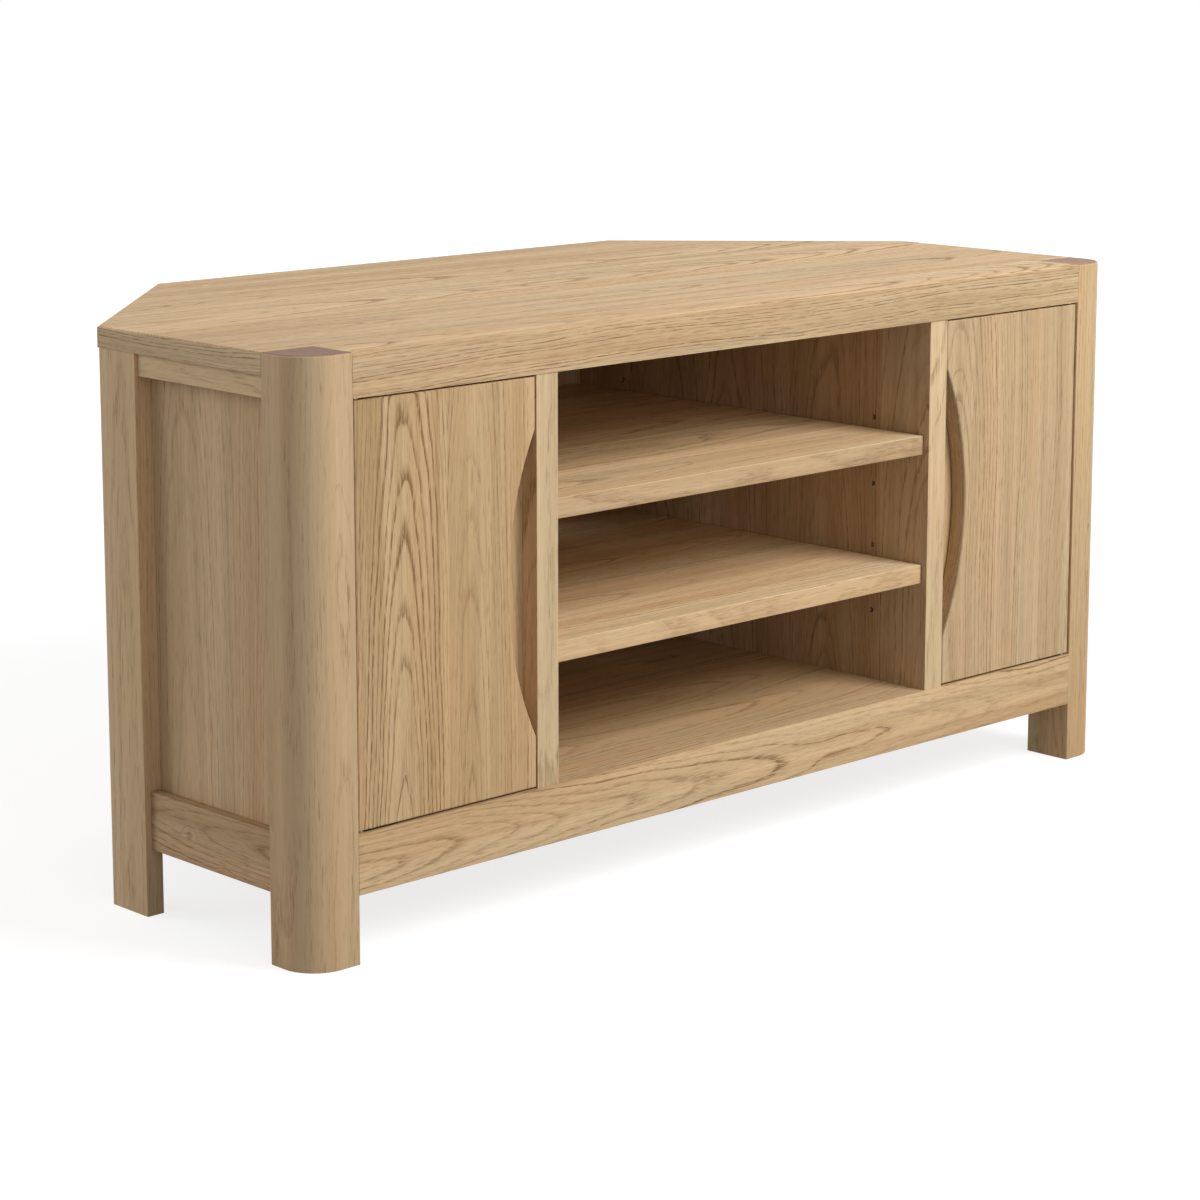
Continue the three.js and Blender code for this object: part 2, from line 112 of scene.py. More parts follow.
# With a share of 1, a face that looks at the lamp renders in its colour as written.
front_share, front_away, sky_share = 0.785, 2.6, 0.375
front_lamp = hang_lamp("front_lamp", "AREA", turn=20, height=36, away=front_away)
front_lamp.size = 1.2
front_lamp.energy = front_share * (math.pi * front_away) ** 2
for name, turn, height, share, spread in (("fill_lamp", -9, 13, 0.105, 40),
                                          ("back_lamp", -140, 18, 0.35, 40),
                                          ("side_lamp", 102, 6, 0.3, 30)):
    soft_lamp = hang_lamp(name, "SUN", turn, height)
    soft_lamp.angle = math.radians(spread)
    soft_lamp.energy = share * math.pi

world = bpy.data.worlds.new("sky")
world.use_nodes = True
world.node_tree.nodes.clear()
tree = world.node_tree
sky_strength = reckon(tree, "MULTIPLY_ADD", seen_plainly(tree), 1 - sky_share, sky_share)
sky = put(tree, "ShaderNodeBackground", {"Color": (1, 1, 1, 1), "Strength": sky_strength})
put(tree, "ShaderNodeOutputWorld", {"Surface": sky.outputs[0]})
scene.world = world

floor_half = 20.0
floor_mesh = bpy.data.meshes.new("floor")
floor_mesh.from_pydata([(-floor_half, -floor_half, 0), (floor_half, -floor_half, 0),
                        (floor_half, floor_half, 0), (-floor_half, floor_half, 0)], [], [(0, 1, 2, 3)])
floor = bpy.data.objects.new("floor", floor_mesh)
scene.collection.objects.link(floor)
floor_finish, tree = new_finish("pale_floor")
# The floor throws a little light up at the cabinet, and glows to white where it is seen.
floor_bounce, floor_white = 0.42, 0.34
near_glow, far_glow = 0.79, 1.0
glow_start, glow_end = 0.9, 2.4
plainly = seen_plainly(tree)
tint = reckon(tree, "MULTIPLY_ADD", plainly, floor_white - floor_bounce, floor_bounce)
shade = put(tree, "ShaderNodeCombineColor", {0: tint, 1: tint, 2: tint})
matt = put(tree, "ShaderNodeBsdfDiffuse", {"Color": shade.outputs[0]})
place = put(tree, "ShaderNodeTexCoord")
away = put(tree, "ShaderNodeVectorMath", {0: place.outputs["Object"]}, operation="LENGTH").outputs["Value"]
whiter = put(tree, "ShaderNodeMapRange", {"Value": away, "From Min": glow_start, "From Max": glow_end,
                                          "To Min": near_glow, "To Max": far_glow})
glow = put(tree, "ShaderNodeEmission", {"Strength": reckon(tree, "MULTIPLY", plainly, whiter.outputs[0])})
both = put(tree, "ShaderNodeAddShader", {0: matt.outputs[0], 1: glow.outputs[0]})
put(tree, "ShaderNodeOutputMaterial", {"Surface": both.outputs[0]})
floor_mesh.materials.append(floor_finish)


# Front legs
# Oak, 52 by 50 mm, with a large quarter round worked on the outer corner, sanded and oiled. They
# are glued into notches in the top, so their end grain shows there. Front and sides differ in tone:
# the sides carry painted shade on the left leg and painted light on the right leg's shaded inner side.
def sockets(tree, incoming, outgoing):
    kinds = {"v": "NodeSocketVector", "f": "NodeSocketFloat", "c": "NodeSocketColor"}
    for name, kind in incoming:
        tree.interface.new_socket(name=name, in_out="INPUT", socket_type=kinds[kind])
    for name, kind in outgoing:
        tree.interface.new_socket(name=name, in_out="OUTPUT", socket_type=kinds[kind])
    return put(tree, "NodeGroupInput"), put(tree, "NodeGroupOutput")


def stretch(tree, across, depth, along, marks):
    # A place in the wood, counted in marks: so many to a metre across the board, into it and along it.
    wide, deep, long = marks
    return put(tree, "ShaderNodeCombineXYZ", {0: reckon(tree, "MULTIPLY", across, wide),
                                              1: reckon(tree, "MULTIPLY", depth, deep),
                                              2: reckon(tree, "MULTIPLY", along, long)}).outputs[0]


def stretched_noise(tree, across, depth, along, marks, detail, softness=0.5):
    return put(tree, "ShaderNodeTexNoise", {"Vector": stretch(tree, across, depth, along, marks),
                                            "Scale": 1.0, "Detail": detail, "Roughness": softness})


def channels(tree, colour):
    return put(tree, "ShaderNodeSeparateColor", {0: colour}).outputs


def swing(tree, chance, amount, value):
    # Moves a value to either side, by a chance that runs from nought to one.
    return reckon(tree, "MULTIPLY_ADD", reckon(tree, "SUBTRACT", chance, 0.5), amount, value)


def between(tree, value, low, high, start=0.0, end=1.0):
    return put(tree, "ShaderNodeMapRange", {"Value": value, "From Min": low, "From Max": high,
                                            "To Min": start, "To Max": end},
               interpolation_type="SMOOTHSTEP").outputs[0]


def blend_colours(tree, share, under, over, way="MIX"):
    made = put(tree, "ShaderNodeMix", {0: share, 6: under, 7: over}, data_type="RGBA", blend_type=way)
    return made.outputs[2]


def make_oak_figure():
    # The wood as a solid: year rings round a heart that drifts along the grain, cut by the board's faces.
    tree = bpy.data.node_groups.new("oak_figure", "ShaderNodeTree")
    given, result = sockets(
        tree,
        [("Place", "v"), ("Board", "f"), ("Stave Width", "f"), ("Glued", "f"), ("Heart Aside", "f"),
         ("Heart Depth", "f"), ("Lean", "f"), ("Drift", "f"), ("Ring Width", "f"), ("Figure", "f"),
         ("Tone", "f"), ("Hue", "c"), ("End Grain", "f"), ("Knots", "f")],
        [("Colour", "c"), ("Roughness", "f"), ("Height", "f")])
    have = given.outputs
    at = put(tree, "ShaderNodeSeparateXYZ", {0: have["Place"]}).outputs

    # Boards glued side by side: each has its own heart, its own length along the tree and its own tone.
    trunk_length, board_step = 4.0, 1.7
    depth = at[1]
    count = reckon(tree, "ADD", reckon(tree, "DIVIDE", at[0], have["Stave Width"]), 0.5)
    stave = reckon(tree, "FLOOR", count)
    across = reckon(tree, "MULTIPLY", reckon(tree, "SUBTRACT", reckon(tree, "FRACT", count), 0.5),
                    have["Stave Width"])
    which = put(tree, "ShaderNodeCombineXYZ", {0: stave, 1: have["Board"]})
    chance = put(tree, "ShaderNodeTexWhiteNoise", {"Vector": which.outputs[0]}, noise_dimensions="2D")
    luck = channels(tree, chance.outputs["Color"])
    aside_by, below_by = (reckon(tree, "MULTIPLY", reckon(tree, "SUBTRACT", one, 0.5), have["Glued"])
                          for one in luck[:2])
    along = reckon(tree, "MULTIPLY_ADD", luck[2], trunk_length, at[2])
    along = reckon(tree, "MULTIPLY_ADD", have["Board"], board_step, along)

    # Marks to a metre across the board, into it and along it.
    drift_marks, wave_marks, knot_marks = (1.0, 1.0, 2.4), (34.0, 34.0, 7.0), (34.0, 12.0, 24.0)
    line_marks, pore_marks = (900.0, 900.0, 70.0), (1100.0, 1100.0, 62.0)
    fibre_marks, streak_marks, cloud_marks = (420.0, 420.0, 6.0), (95.0, 95.0, 1.8), (22.0, 22.0, 1.5)
    fleck_marks, band_marks = (520.0, 520.0, 34.0), (52.0, 52.0, 0.9)

    def noise(marks, detail, softness=0.5):
        return stretched_noise(tree, across, depth, along, marks, detail, softness)

    # The heart of the tree, seen from the board: to one side, below the face, leaning and drifting.
    stave_step, wave = 3.7, 0.006
    drift_row = reckon(tree, "MULTIPLY_ADD", stave, stave_step, have["Board"])
    drift = stretched_noise(tree, drift_row, 0.5, along, drift_marks, 1.0)
    drifted = channels(tree, drift.outputs["Color"])
    drift_reach = reckon(tree, "MULTIPLY", have["Drift"], 2.0)
    aside = reckon(tree, "MULTIPLY_ADD", aside_by, reckon(tree, "MULTIPLY", have["Stave Width"], 0.5),
                   have["Heart Aside"])
    aside = swing(tree, drifted[0], drift_reach, aside)
    below = reckon(tree, "MULTIPLY", have["Heart Depth"], reckon(tree, "ADD", below_by, 1.0))
    below = swing(tree, drifted[1], drift_reach, below)
    below = reckon(tree, "MULTIPLY_ADD", have["Lean"], at[2], below)
    warped = channels(tree, noise(wave_marks, 2.5).outputs["Color"])
    side_way = swing(tree, warped[0], wave, reckon(tree, "SUBTRACT", across, aside))
    down_way = swing(tree, warped[1], wave, reckon(tree, "ADD", depth, below))
    ring_place = reckon(tree, "SQRT", reckon(tree, "ADD", reckon(tree, "POWER", side_way, 2.0),
                                             reckon(tree, "POWER", down_way, 2.0)))

    # Pin knots: a few small dark spots, with the rings pushed aside round each.
    knot_push, swell_edge, knot_edge = 0.007, (0.03, 0.42), (0.05, 0.13)
    scatter = stretch(tree, across, depth, along, knot_marks)
    spots = put(tree, "ShaderNodeTexVoronoi", {"Vector": scatter, "Scale": 1.0, "Randomness": 0.8})
    off_centre = spots.outputs["Distance"]
    chosen = reckon(tree, "LESS_THAN", channels(tree, spots.outputs["Color"])[0], have["Knots"])
    swell = reckon(tree, "MULTIPLY", between(tree, off_centre, *swell_edge, 1.0, 0.0), chosen)
    knot = reckon(tree, "MULTIPLY", between(tree, off_centre, *knot_edge, 1.0, 0.0), chosen)
    ring_place = reckon(tree, "MULTIPLY_ADD", swell, knot_push, ring_place)

    # Year rings of uneven width: each starts with a dark, porous line, broken along the grain.
    uneven_scale, uneven_years = 110.0, 1.3
    spring_end, autumn_end = 0.38, 0.88
    least_line, line_growth = 0.14, 1.6
    gap_edge, faint_line, full_line = (0.36, 0.56), 0.16, 1.1
    uneven = put(tree, "ShaderNodeTexNoise", {"W": ring_place, "Scale": uneven_scale, "Detail": 1.0},
                 noise_dimensions="1D").outputs[0]
    rings = reckon(tree, "DIVIDE", ring_place, have["Ring Width"])
    rings = reckon(tree, "MULTIPLY_ADD", uneven, uneven_years, rings)
    year = reckon(tree, "ADD", reckon(tree, "FLOOR", rings), have["Board"])
    season = reckon(tree, "FRACT", rings)
    year_luck = put(tree, "ShaderNodeTexWhiteNoise", {"W": year}, noise_dimensions="1D").outputs["Value"]
    spring = reckon(tree, "MAXIMUM", between(tree, season, 0.0, spring_end, 1.0, 0.0),
                    between(tree, season, autumn_end, 1.0))
    broken = between(tree, noise(line_marks, 2.0).outputs[0], *gap_edge, faint_line, full_line)
    strong = reckon(tree, "ADD", reckon(tree, "POWER", year_luck, line_growth), least_line)
    line = reckon(tree, "MULTIPLY", reckon(tree, "MULTIPLY", spring, strong), broken)

    # Pores, fibres and slow changes of tone, all drawn out along the grain. Plain wood has less of each.
    plainest, liveliness = 0.25, 0.8
    pore_edge, pores_in_line, pores_elsewhere = (0.53, 0.66), 0.7, 0.36
    fleck_edge, fleck_streaks, band_edge = (0.60, 0.74), (0.42, 0.62), (0.54, 0.66)
    streak_swing, cloud_swing = 1.6, 1.5
    lively = reckon(tree, "MULTIPLY_ADD", have["Figure"], liveliness, plainest, clamp=True)
    pores = between(tree, noise(pore_marks, 1.0).outputs[0], *pore_edge)
    pore_share = reckon(tree, "MULTIPLY_ADD", line, pores_in_line,
                        reckon(tree, "MULTIPLY", lively, pores_elsewhere))
    pores = reckon(tree, "MULTIPLY", pores, pore_share)
    fibres = noise(fibre_marks, 3.0, 0.6).outputs[0]
    streaks = noise(streak_marks, 2.0).outputs[0]
    slow = noise(cloud_marks, 1.0).outputs
    clouds, warmth = slow[0], channels(tree, slow["Color"])[1]
    flecks = between(tree, noise(fleck_marks, 1.0).outputs[0], *fleck_edge)
    flecks = reckon(tree, "MULTIPLY", flecks, between(tree, streaks, *fleck_streaks))
    ageing = swing(tree, streaks, streak_swing, swing(tree, clouds, cloud_swing, 0.0))
    ageing = reckon(tree, "MULTIPLY_ADD", ageing, lively, 0.5, clamp=True)
    bands = reckon(tree, "MULTIPLY", between(tree, noise(band_marks, 1.0).outputs[0], *band_edge), lively)

    # Colour: from sapwood to heartwood, with pale bands, and darker where lines, pores and flecks are.
    sapwood, heartwood = (0.622, 0.443, 0.255, 1), (0.486, 0.318, 0.159, 1)
    pale_wood = (0.720, 0.515, 0.296, 1)
    spring_wood, pore_shade = (0.262, 0.145, 0.062, 1), (0.188, 0.104, 0.043, 1)
    end_shade = (0.47, 0.41, 0.52, 1)
    warm_hue, cool_hue, warm_edge = (1.025, 0.985, 0.955, 1), (0.975, 1.0, 1.0, 1), (0.36, 0.64)
    bands_show, pores_show, flecks_show, knots_show = 0.45, 0.65, 0.45, 0.85
    fibre_least, fibre_growth, stave_growth = 0.12, 0.34, 0.12
    colour = blend_colours(tree, ageing, sapwood, heartwood)
    colour = blend_colours(tree, reckon(tree, "MULTIPLY", bands, bands_show), colour, pale_wood)
    lines = reckon(tree, "MULTIPLY", line, have["Figure"], clamp=True)
    colour = blend_colours(tree, lines, colour, spring_wood)
    colour = blend_colours(tree, reckon(tree, "MULTIPLY", pores, pores_show), colour, pore_shade)
    colour = blend_colours(tree, reckon(tree, "MULTIPLY", flecks, flecks_show), colour, spring_wood)
    colour = blend_colours(tree, reckon(tree, "MULTIPLY", knot, knots_show), colour, pore_shade)
    hue = blend_colours(tree, between(tree, warmth, *warm_edge), cool_hue, warm_hue)
    hue = blend_colours(tree, 1.0, hue, have["Hue"], "MULTIPLY")
    colour = blend_colours(tree, 1.0, colour, hue, "MULTIPLY")
    level = swing(tree, fibres, reckon(tree, "MULTIPLY_ADD", lively, fibre_growth, fibre_least),
                  have["Tone"])
    level = reckon(tree, "MULTIPLY_ADD", below_by, stave_growth, level)
    level = put(tree, "ShaderNodeCombineColor", {0: level, 1: level, 2: level}).outputs[0]
    colour = blend_colours(tree, 1.0, colour, level, "MULTIPLY")
    colour = blend_colours(tree, have["End Grain"], colour,
                           blend_colours(tree, 1.0, colour, end_shade, "MULTIPLY"))

    # The oiled face is smoothest, and rougher over lines, pores and end grain. Pores lie deepest.
    face_rough, line_rough, pore_rough, end_rough = 0.54, 0.10, 0.14, 0.12
    line_height, pore_height, fibre_height = -0.35, -0.8, 0.25
    rough = reckon(tree, "MULTIPLY_ADD", line, line_rough, face_rough)
    rough = reckon(tree, "MULTIPLY_ADD", pores, pore_rough, rough)
    rough = reckon(tree, "MULTIPLY_ADD", have["End Grain"], end_rough, rough)
    height = reckon(tree, "MULTIPLY_ADD", pores, pore_height,
                    reckon(tree, "MULTIPLY", line, line_height))
    height = reckon(tree, "MULTIPLY_ADD", fibres, fibre_height, height)
    for name, value in (("Colour", colour), ("Roughness", rough), ("Height", height)):
        tree.links.new(value, result.inputs[name])
    return tree


oak_figure = make_oak_figure()
up, right, back = (0, 0, 1), (1, 0, 0), (0, 1, 0)
pore_depth, pore_strength = 0.00025, 0.35
glue_line = 0.0001
# How squarely a face has to look one way before it counts as end grain, or as a broad face.
end_turn, face_turn = (0.55, 0.9), (0.3, 0.8)
# A stave wider than any board means that nothing is glued up. A second cut's number lies so far on.
whole_board, next_cut = 10.0, 100


def dot(tree, a, b):
    return put(tree, "ShaderNodeVectorMath", {0: a, 1: b}, operation="DOT_PRODUCT").outputs["Value"]


def sawn_oak(tree, place, board, stave=whole_board, heart=(0.0, 0.05), lean=0.03, drift=0.012,
             ring=0.0034, figure=0.6, tone=1.0, hue=(1, 1, 1), end_grain=0.0, knots=0.0):
    # The figure at a place in the board: across it, down into it and along its grain.
    values = {"Place": place, "Board": float(board), "Stave Width": stave,
              "Glued": float(stave != whole_board), "Heart Aside": heart[0], "Heart Depth": heart[1],
              "Lean": lean, "Drift": drift, "Ring Width": ring, "Figure": figure, "Tone": tone,
              "Hue": (*hue, 1), "End Grain": end_grain, "Knots": knots}
    wood = tree.nodes.new("ShaderNodeGroup")
    wood.node_tree = oak_figure
    for name, value in values.items():
        if isinstance(value, bpy.types.NodeSocket):
            tree.links.new(value, wood.inputs[name])
        else:
            wood.inputs[name].default_value = value
    return wood.outputs


def board_of_oak(tree, along, across, centre, board, ends=1.0, **cut):
    # A flat board: its grain runs along, and across lies in its face.
    along, across = Vector(along).normalized(), Vector(across).normalized()
    lay = Matrix((across, along.cross(across), along))
    seen = put(tree, "ShaderNodeTexCoord").outputs
    place = put(tree, "ShaderNodeMapping", {"Vector": seen["Object"], "Location": -(lay @ centre),
                                            "Rotation": lay.to_euler("XYZ")}).outputs[0]
    facing = reckon(tree, "ABSOLUTE", dot(tree, seen["Normal"], along))
    return sawn_oak(tree, place, board, end_grain=between(tree, facing, *end_turn, 0.0, ends), **cut)


def strip_of_oak(tree, board, **cut):
    # A strip glued round a board's upright edges, with its grain along each of them.
    seen = put(tree, "ShaderNodeTexCoord").outputs
    along = put(tree, "ShaderNodeVectorMath", {0: seen["Normal"], 1: up},
                operation="CROSS_PRODUCT").outputs[0]
    place = put(tree, "ShaderNodeCombineXYZ", {0: dot(tree, seen["Object"], up),
                                               1: dot(tree, seen["Object"], seen["Normal"]),
                                               2: dot(tree, seen["Object"], along)}).outputs[0]
    return sawn_oak(tree, place, board, **cut)


def oak(names, along, across, board, flat=up, edge_shade=1.0, nosing=None, lipping=None, mate=None, tone=1.0,
        **cut):
    # One finish for pieces cut from the same wood. The board's number says from where in the tree.
    #     Its broad faces look along flat. Its other faces keep only a share of the tone, as painted shade
    #     that makes them darker than the broad ones, as if less lit. On those, a nosing is another cut with
    #     its grain the same way, and a lipping one that runs round the board. A mate is a second board
    #     glued beside the first.
    low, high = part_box(names[0])
    centre = (low + high) / 2
    finish, tree = new_finish("oak_" + names[0])
    seen = put(tree, "ShaderNodeTexCoord").outputs
    broad = reckon(tree, "ABSOLUTE", dot(tree, seen["Normal"], flat))
    if edge_shade != 1:
        tone = between(tree, broad, *face_turn, tone * edge_shade, tone)
    if lipping:
        cut["ends"] = 0.0
    cut["tone"] = tone
    wood = board_of_oak(tree, along, across, centre, board, **cut)
    colour, rough, height = wood["Colour"], wood["Roughness"], wood["Height"]
    second = None
    if lipping:
        second = strip_of_oak(tree, board + next_cut, tone=tone, **lipping)
    if nosing:
        second = board_of_oak(tree, along, flat, centre, board + next_cut, **{**cut, **nosing})
    if second:
        share = between(tree, broad, *face_turn, 1.0, 0.0)
    if mate:
        second = board_of_oak(tree, along, across, centre, board + next_cut, **{**cut, **mate})
        middle = centre.dot(Vector(across))
        share = between(tree, dot(tree, seen["Object"], across), middle - glue_line, middle + glue_line)
    if second:
        colour = blend_colours(tree, share, colour, second["Colour"])
        rough = put(tree, "ShaderNodeMix", {0: share, 2: rough, 3: second["Roughness"]}).outputs[0]
        height = put(tree, "ShaderNodeMix", {0: share, 2: height, 3: second["Height"]}).outputs[0]
    bump = put(tree, "ShaderNodeBump", {"Strength": pore_strength, "Distance": pore_depth,
                                        "Height": height})
    surface = put(tree, "ShaderNodeBsdfPrincipled",
                  {"Base Color": colour, "Roughness": rough, "IOR": 1.45, "Normal": bump.outputs[0],
                   "Specular IOR Level": 0.18})
    put(tree, "ShaderNodeOutputMaterial", {"Surface": surface.outputs[0]})
    for name in names:
        dress(nodes[name], finish)


def dress(piece, finish):
    if not piece.data.materials:
        piece.data.materials.append(finish)
    for slot in piece.material_slots:
        slot.link = "OBJECT"
        slot.material = finish


def ease(names, width=0.0):
    # Sanded arrises: a width rounds the board's sharp edges, and worked rounds shade as one surface.
    sharp, nearly_flat = math.radians(35), math.radians(0.5)
    for name in names:
        piece = nodes[name]
        for face in piece.data.polygons:
            face.use_smooth = True
        join = piece.modifiers.new("join", "WELD")
        join.merge_threshold = 0.00001
        if width:
            flat = piece.modifiers.new("flat", "DECIMATE")
            flat.decimate_type = "DISSOLVE"
            flat.angle_limit = nearly_flat
            round_off = piece.modifiers.new("round_off", "BEVEL")
            round_off.width = width
            round_off.segments = 2
            round_off.limit_method = "ANGLE"
            round_off.angle_limit = sharp
            round_off.use_clamp_overlap = True
        else:
            part = piece.modifiers.new("part", "EDGE_SPLIT")
            part.split_angle = sharp
        shade = piece.modifiers.new("shade", "WEIGHTED_NORMAL")
        shade.keep_sharp = False


for name, board, figure, front_tone, front_hue, side_shading in (
        ("left_front_leg", 11, 0.25, 0.98, (0.99, 1.0, 1.06), 0.86),
        ("right_front_leg", 12, 0.6, 0.9, (1.0, 0.98, 0.96), 1.2)):
    oak([name], up, right, board, heart=(0.01, 0.05), lean=0.01, figure=figure, tone=front_tone,
        hue=front_hue, flat=back, ends=0.9, nosing={"tone": side_shading, "hue": (0.985, 1.01, 1.07)})
    ease([name], width=0.0005)

# Side posts and rear posts
# Solid oak. The side posts are the rear feet of the two sides and the rear posts those of the
# straight back. Rails are dowelled and glued between them.
for side, board in (("left", 15), ("right", 16)):
    oak([side + "_side_post"], up, back, board, heart=(0.0, 0.045), lean=0.012, figure=0.4, tone=1.09,
        hue=(0.99, 0.99, 1.07))
    oak([side + "_rear_post"], up, right, board + 2, heart=(0.012, 0.03), lean=0.02, figure=0.4)
    ease([side + "_side_post", side + "_rear_post"], width=0.0005)

# Rails
# Solid oak with the grain along. The front top rail and the top's edge are from one board, so the
# figure runs over the joint; rear and corner rails are plainer wood.
oak(["front_bottom_rail"], right, up, board=22, heart=(-0.004, 0.028), lean=0.032, ring=0.0030, figure=1.0,
    tone=0.945)
oak(["rear_top_rail"], right, up, board=23, heart=(0.01, 0.03), figure=0.5)
oak(["rear_bottom_rail"], right, up, board=24, heart=(-0.01, 0.04), figure=0.5)
for side, board, way in (("left", 25, 1), ("right", 29, -1)):
    oak([side + "_top_rail"], back, up, board, heart=(0.002, 0.03), lean=0.05, figure=0.45, tone=1.13,
        hue=(1.0, 1.02, 1.10))
    oak([side + "_bottom_rail"], back, up, board + 1, heart=(0.006, 0.026), lean=0.06, figure=1.0,
        tone=0.79, hue=(1.0, 0.94, 0.94), knots=0.3)
    oak([side + "_corner_top_rail"], (1, way, 0), up, board + 2, heart=(0.01, 0.03), figure=0.5)
ease(["front_top_rail", "rear_top_rail", "rear_bottom_rail"])
ease(["front_bottom_rail", "left_top_rail", "left_bottom_rail", "left_corner_top_rail",
      "right_top_rail", "right_bottom_rail", "right_corner_top_rail"], width=0.0005)

# Side panels
# Oak boards glued side by side with the grain upright. They lie behind the posts and rails, glued
# to their inner faces, and are mitred to the corner panels at the back.
for side, board in (("left", 33), ("right", 34)):
    oak([side + "_side_panel"], up, back, board, stave=0.115, heart=(0.0, 0.045), lean=0.03, figure=0.55,
        tone=0.97, hue=(0.99, 0.99, 1.06))
    ease([side + "_side_panel"])

# Bottom panel
# Oak boards glued side by side, grain from side to side, level with the top of the front bottom
# rail. It is notched round legs and posts and glued to the rails.
oak(["bottom_panel"], right, back, board=35, stave=0.095, heart=(0.0, 0.05), lean=0.03, figure=0.6,
    tone=0.92)
ease(["bottom_panel"], width=0.0004)

# Dividers and stop strips
# Upright oak boards that stand between bay and cupboards, drilled for the shelf pegs. Each has a
# strip glued behind the door's finger pull, which the door closes against.
for side, board, tone in (("left", 36, 1.04), ("right", 37, 0.89)):
    oak([side + "_divider"], up, back, board, stave=0.12, heart=(0.0, 0.04), lean=0.05, figure=0.72,
        tone=tone, flat=right, hue=(1.0, 1.0, 1.05),
        nosing={"tone": 1.05, "hue": (1.0, 1.06, 1.14), "heart": (0.004, 0.05), "lean": 0.01,
                "figure": 0.45})
    oak([side + "_door_stop"], up, right, board + 2, heart=(0.0, 0.04), figure=0.4)
    ease([side + "_divider"], width=0.0006)
    ease([side + "_door_stop"], width=0.0004)

# Back panels
# Thin oak-faced board with the grain upright, mitred where two panels meet and screwed on from
# behind. The straight one has a slot for cables.
oak(["rear_back_panel"], up, right, board=41, stave=0.14, heart=(0.0, 0.06), lean=0.04, figure=0.5,
    tone=1.02)
for side, board, way in (("left", 42, 1), ("right", 43, -1)):
    oak([side + "_corner_back_panel"], up, (1, way, 0), board, stave=0.14, heart=(0.0, 0.06), lean=0.04,
        figure=0.5, tone=1.04)
ease(["rear_back_panel", "left_corner_back_panel", "right_corner_back_panel"])

# Top
# Oak boards glued side by side with the grain from side to side, both rear corners cut off, and
# notched round the front legs. Its edges and the front top rail show the figure of one strip.
# The upright faces of the top and the front top rail get painted shade: a lower tone than the top's face,
# as if less lit.
oak(["top", "front_top_rail"], right, back, board=45, stave=0.125, heart=(0.0, 0.05), lean=0.035,
    ring=0.0030, figure=1.15, tone=1.055, edge_shade=0.845,
    lipping={"hue": (0.98, 1.0, 1.03), "heart": (0.01, 0.03), "lean": 0.02, "ring": 0.0026,
             "figure": 1.0})
ease(["top"])

# Shelves and their pegs
# Two oak shelves, glued up with the grain from side to side and edged with other wood. They lie
# loose on four zinc-plated steel pegs each, which push into holes in the dividers.
# The shelves' high tones are painted light: their tops come out brighter than the rest of the oak, as if
# more light reached into the bay.
oak(["upper_shelf"], right, back, board=51, stave=0.11, heart=(0.0, 0.05), lean=0.03, figure=0.6, tone=1.38,
    hue=(0.97, 1.03, 1.09),
    nosing={"tone": 0.79, "hue": (1.0, 1.02, 1.06), "heart": (0.0, 0.12), "lean": 0.01,
            "drift": 0.004, "ring": 0.0024, "figure": 0.5})
oak(["lower_shelf"], right, back, board=52, stave=0.12, heart=(0.0, 0.03), lean=0.04, figure=0.7, tone=1.34,
    hue=(0.97, 1.05, 1.15),
    nosing={"tone": 1.03, "hue": (1.0, 1.0, 1.02), "heart": (0.0, 0.006), "lean": 0.03,
            "drift": 0.035, "ring": 0.0075, "figure": 0.7})
ease(["upper_shelf", "lower_shelf"], width=0.0008)


def metal(name, colour, rough, brushed):
    # Plated steel: fine tool marks in the roughness and height, and slightly uneven plating.
    cloud_marks, dulled, mark_height = 160.0, 0.8, 0.00005
    cloud_edge, mark_edge, smoother, rougher = (0.35, 0.65), (0.3, 0.7), 0.08, 0.12
    finish, tree = new_finish(name)
    place = put(tree, "ShaderNodeTexCoord")
    stretched = put(tree, "ShaderNodeMapping", {"Vector": place.outputs["Object"], "Scale": brushed})
    marks = put(tree, "ShaderNodeTexNoise", {"Vector": stretched.outputs[0], "Scale": 1.0, "Detail": 4.0})
    cloud = put(tree, "ShaderNodeTexNoise", {"Vector": place.outputs["Object"], "Scale": cloud_marks,
                                             "Detail": 2.0})
    dull = tuple(dulled * one for one in colour) + (1,)
    tint = blend_colours(tree, between(tree, cloud.outputs[0], *cloud_edge), colour + (1,), dull)
    roughness = between(tree, marks.outputs[0], *mark_edge, rough - smoother, rough + rougher)
    bump = put(tree, "ShaderNodeBump", {"Strength": 0.2, "Distance": mark_height,
                                        "Height": marks.outputs[0]})
    surface = put(tree, "ShaderNodeBsdfPrincipled",
                  {"Base Color": tint, "Roughness": roughness, "Metallic": 1.0,
                   "Normal": bump.outputs[0]})
    put(tree, "ShaderNodeOutputMaterial", {"Surface": surface.outputs[0]})
    return finish


zinc = metal("zinc_plated_steel", colour=(0.40, 0.39, 0.37), rough=0.42, brushed=(300.0, 300.0, 2500.0))
pegs = [name for name in nodes if name.endswith("_peg")]
for name in pegs:
    dress(nodes[name], zinc)
ease(pegs, width=0.0003)

# Doors
# Each is two oak boards glued up, grain upright, with its arrises rounded and a crescent finger
# pull cut through the inner edge.
oak(["left_door"], up, right, board=61, heart=(-0.048, 0.045), lean=0.045, drift=0.010, ring=0.0030,
    figure=1.2, tone=0.89, hue=(1.0, 0.985, 0.95), ends=0.4,
    mate={"heart": (0.027, 0.030), "lean": 0.06, "ring": 0.0036, "figure": 0.6, "drift": 0.006})
oak(["right_door"], up, right, board=62, heart=(-0.085, 0.045), lean=0.05, drift=0.020, ring=0.0042,
    figure=0.75, tone=0.865, hue=(0.99, 1.01, 1.05), ends=0.4,
    mate={"heart": (0.10, 0.05), "lean": 0.03, "ring": 0.0034, "figure": 0.55})
ease(["left_door", "right_door"])

